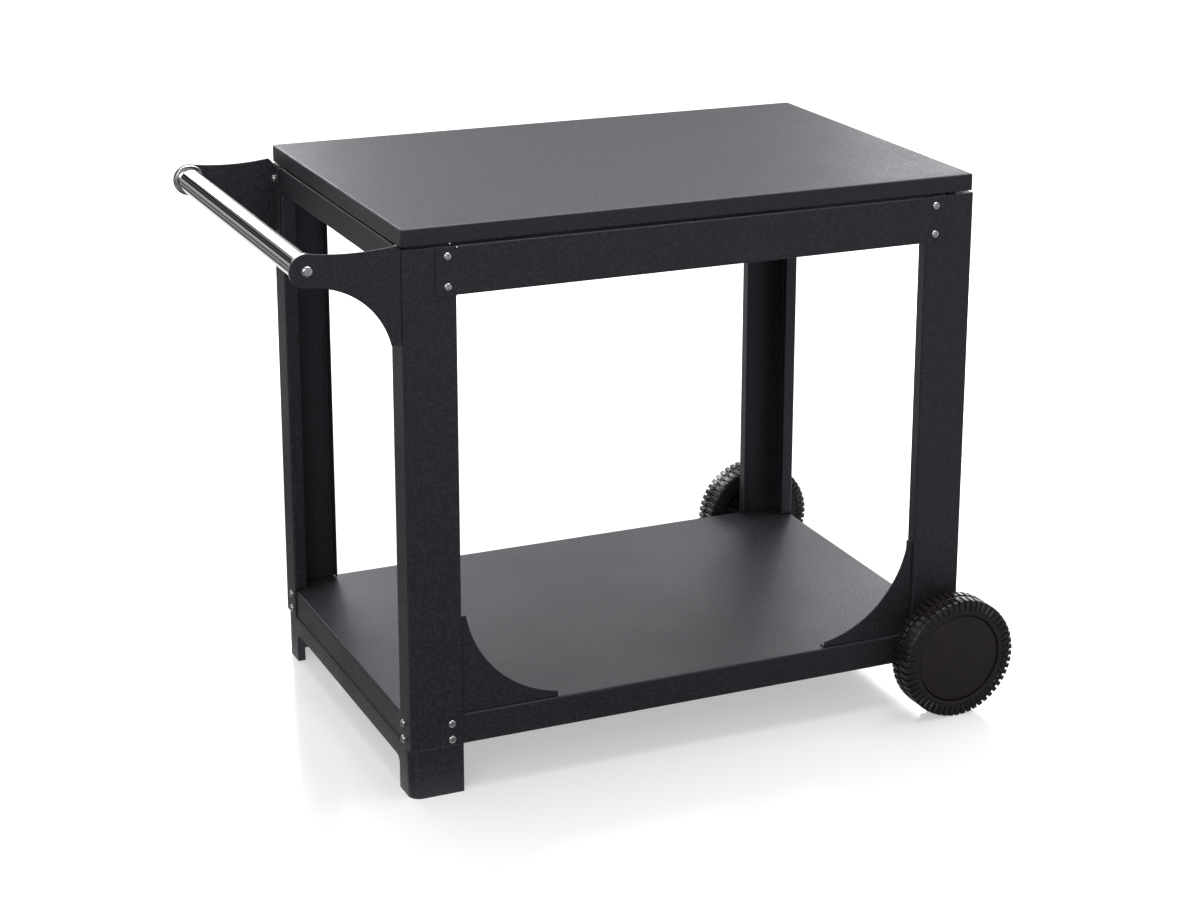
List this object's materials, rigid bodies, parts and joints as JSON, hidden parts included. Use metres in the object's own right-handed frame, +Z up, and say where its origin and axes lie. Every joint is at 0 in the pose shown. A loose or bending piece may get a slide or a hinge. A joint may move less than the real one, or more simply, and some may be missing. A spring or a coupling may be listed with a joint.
{
  "type": "grill cart",
  "caption": "Steel grill cart with a flat table top, a lower shelf, a chromed push handle at one end and wheels at the other, standing on a foot skirt.",
  "frame": {"origin": "on the floor, below the middle of the overall box", "axes": "+X from the handle end to the wheel end, +Y from the front with its gussets to the rear, +Z up"},
  "size_m": [1.122, 0.738, 0.845],
  "materials": {
    "powder_coat": "fine-texture black powder coat on steel sheet",
    "chrome": "polished chrome plate",
    "zinc_steel": "bright zinc plate",
    "black_rivet": "black painted aluminium rivet",
    "bright_steel": "bright drawn steel",
    "black_nylon": "matt moulded nylon",
    "wheel_plastic": "satin moulded plastic",
    "cap_plastic": "fine-grained moulded plastic"
  },
  "bodies": {
    "frame": {"apron_front": "powder_coat", "apron_handle_end": "powder_coat", "apron_nuts": "zinc_steel", "apron_rear": "powder_coat", "apron_screws": "zinc_steel", "apron_wheel_end": "powder_coat", "axle": "bright_steel", "axle_push_nuts": "zinc_steel", "axle_spacer_front": "black_nylon", "axle_spacer_rear": "black_nylon", "axle_washers": "zinc_steel", "bar_collar_front": "chrome", "bar_collar_rear": "chrome", "bar_screws": "zinc_steel", "end_apron_nuts": "zinc_steel", "end_apron_screws": "zinc_steel", "foot_skirt": "powder_coat", "gusset_handle_end": "powder_coat", "gusset_rivets": "black_rivet", "gusset_wheel_end": "powder_coat", "handle_bar": "chrome", "handle_bracket_front": "powder_coat", "handle_bracket_nuts": "zinc_steel", "handle_bracket_rear": "powder_coat", "handle_bracket_screws": "zinc_steel", "leg_front_handle_end": "powder_coat", "leg_front_wheel_end": "powder_coat", "leg_rear_handle_end": "powder_coat", "leg_rear_wheel_end": "powder_coat", "shelf": "powder_coat", "shelf_nuts": "zinc_steel", "shelf_screws": "zinc_steel", "shelf_stiffener": "powder_coat", "skirt_nuts": "zinc_steel", "skirt_screws": "zinc_steel", "table_top": "powder_coat", "top_nuts": "zinc_steel", "top_screws": "zinc_steel", "top_spacers": "black_nylon", "top_stiffener": "powder_coat"},
    "front_wheel": {"wheel_front": "wheel_plastic", "hub_cap_front": "cap_plastic", "wheel_bush_front": "black_nylon"},
    "rear_wheel": {"wheel_rear": "wheel_plastic", "hub_cap_rear": "cap_plastic", "wheel_bush_rear": "black_nylon"}
  },
  "joints": [
    {"name": "front_wheel_turn", "type": "hinge", "parent": "frame", "child": "front_wheel", "pos_m": [0.466, -0.345, 0.095], "axis": [0, 1, 0], "continuous": true},
    {"name": "rear_wheel_turn", "type": "hinge", "parent": "frame", "child": "rear_wheel", "pos_m": [0.466, 0.345, 0.095], "axis": [0, 1, 0], "continuous": true}
  ]
}
